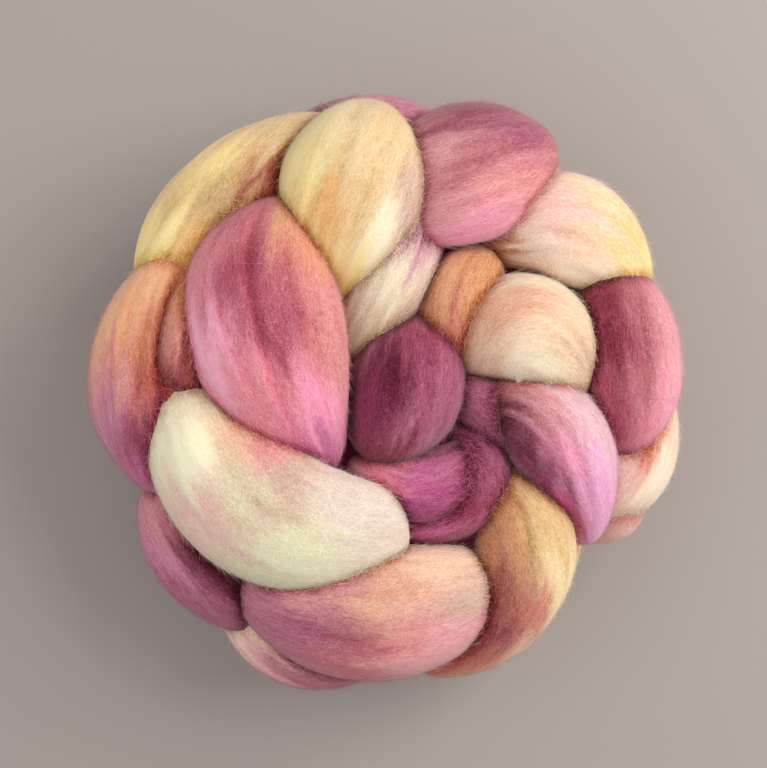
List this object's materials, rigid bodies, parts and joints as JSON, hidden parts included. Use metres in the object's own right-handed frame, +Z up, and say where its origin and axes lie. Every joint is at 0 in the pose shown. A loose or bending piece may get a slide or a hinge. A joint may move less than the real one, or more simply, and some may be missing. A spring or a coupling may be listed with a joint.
{
  "type": "wool roving",
  "caption": "Hand-dyed combed wool roving, chained and wound into a thick round bun of soft folds, lying on its back.",
  "frame": {"origin": "on the resting face, under the middle of the bun's outline", "axes": "+Z up, out of the face that shows the spiral of folds; +X and +Y in the plane of the bun, with +X towards the small curled folds and +Y towards the narrow yellow fold that lies over the rim"},
  "size_m": [0.2014, 0.2001, 0.0927],
  "materials": {
    "dyed_wool": "combed wool dyed in soft runs of cream, yellow, orange, rose, orchid and plum; matt, with a faint silky sheen along the fibres"
  },
  "bodies": {
    "root": {"roving_braid": "dyed_wool"}
  },
  "joints": []
}
